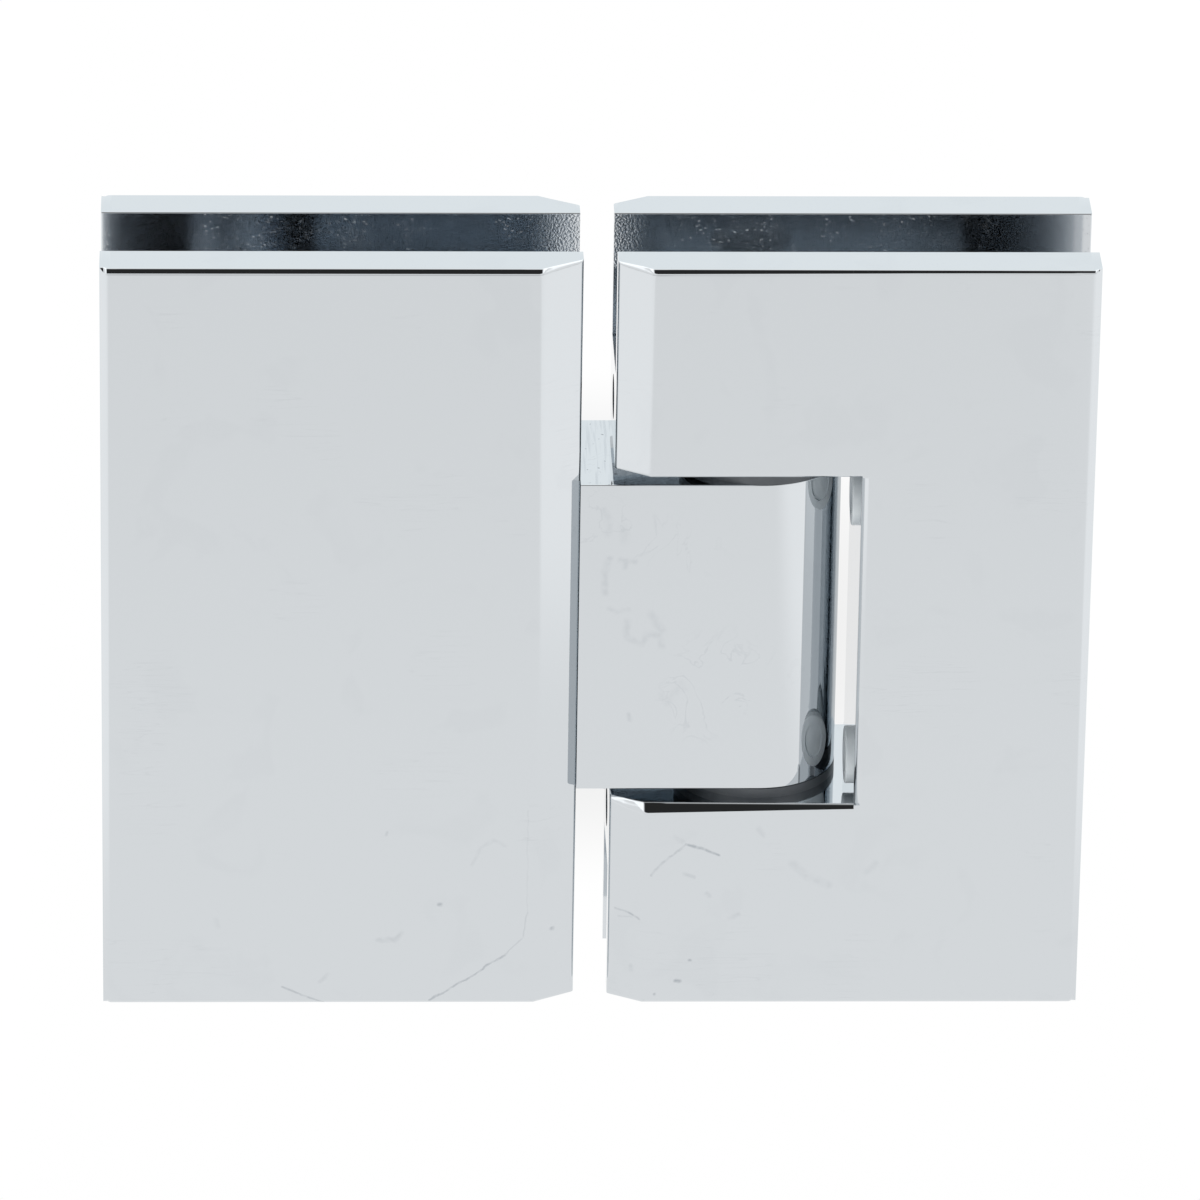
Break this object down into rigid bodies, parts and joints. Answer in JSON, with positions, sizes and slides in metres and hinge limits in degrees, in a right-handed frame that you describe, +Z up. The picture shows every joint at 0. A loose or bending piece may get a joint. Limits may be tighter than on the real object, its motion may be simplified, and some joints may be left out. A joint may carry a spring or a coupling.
{
  "type": "glass door hinge",
  "caption": "Chrome glass-to-glass door hinge: paired clamp plates on each leaf, a round-nosed knuckle in the door leaf's notch, vertical pin, self-centring plungers.",
  "frame": {"origin": "middle of the footprint, on the plane of the clamps' bottom edges, half way between the leaves' outer edges and between the front and back faces", "axes": "+X from the fixed leaf to the door leaf, -Y out of the plain show faces, +Z up along the hinge pin"},
  "size_m": [0.1102, 0.022, 0.09],
  "materials": {
    "bright_chrome": "mirror-polished chrome plate on cast and machined brass",
    "screw_chrome": "bright chrome-plated countersunk socket screws",
    "ground_steel": "ground stainless steel, lightly greased",
    "spring_steel": "drawn spring wire",
    "black_steel": "blackened steel set screws",
    "grey_nylon": "dark grey nylon, satin",
    "grey_rubber": "pale grey soft buffer, satin"
  },
  "bodies": {
    "fixed_leaf": {"fixed_front_plate": "bright_chrome", "fixed_back_plate": "bright_chrome", "knuckle_block": "bright_chrome", "thrust_washer_upper": "grey_nylon", "fixed_clamp_screw_upper": "screw_chrome", "fixed_clamp_screw_lower": "screw_chrome", "block_screw_upper": "screw_chrome", "block_screw_lower": "screw_chrome", "detent_spring_upper": "spring_steel", "detent_spring_lower": "spring_steel", "spring_plug_upper": "black_steel", "spring_plug_lower": "black_steel"},
    "door_leaf": {"door_front_plate": "bright_chrome", "door_back_plate": "bright_chrome", "hinge_pin": "ground_steel", "thrust_washer_lower": "grey_nylon", "door_clamp_screw_upper": "screw_chrome", "door_clamp_screw_lower": "screw_chrome", "pin_grub_screw_upper": "black_steel", "pin_grub_screw_lower": "black_steel", "stop_buffer_upper": "grey_rubber", "stop_buffer_lower": "grey_rubber"},
    "plunger_upper": {"detent_plunger_upper": "ground_steel"},
    "plunger_lower": {"detent_plunger_lower": "ground_steel"}
  },
  "joints": [
    {"name": "door_swing", "type": "hinge", "parent": "fixed_leaf", "child": "door_leaf", "pos_m": [0.0185, 0, 0.045], "axis": [0, 0, 1], "range_deg": [-90, 90]},
    {"name": "plunger_upper_slide", "type": "slide", "parent": "fixed_leaf", "child": "plunger_upper", "axis": [1, 0, 0], "range_m": [0, 0.00045], "stiffness_N_per_m": 400, "springref_m": 0.003, "deforming": ["detent_spring_upper"]},
    {"name": "plunger_lower_slide", "type": "slide", "parent": "fixed_leaf", "child": "plunger_lower", "axis": [1, 0, 0], "range_m": [0, 0.00045], "stiffness_N_per_m": 400, "springref_m": 0.003, "deforming": ["detent_spring_lower"]}
  ]
}
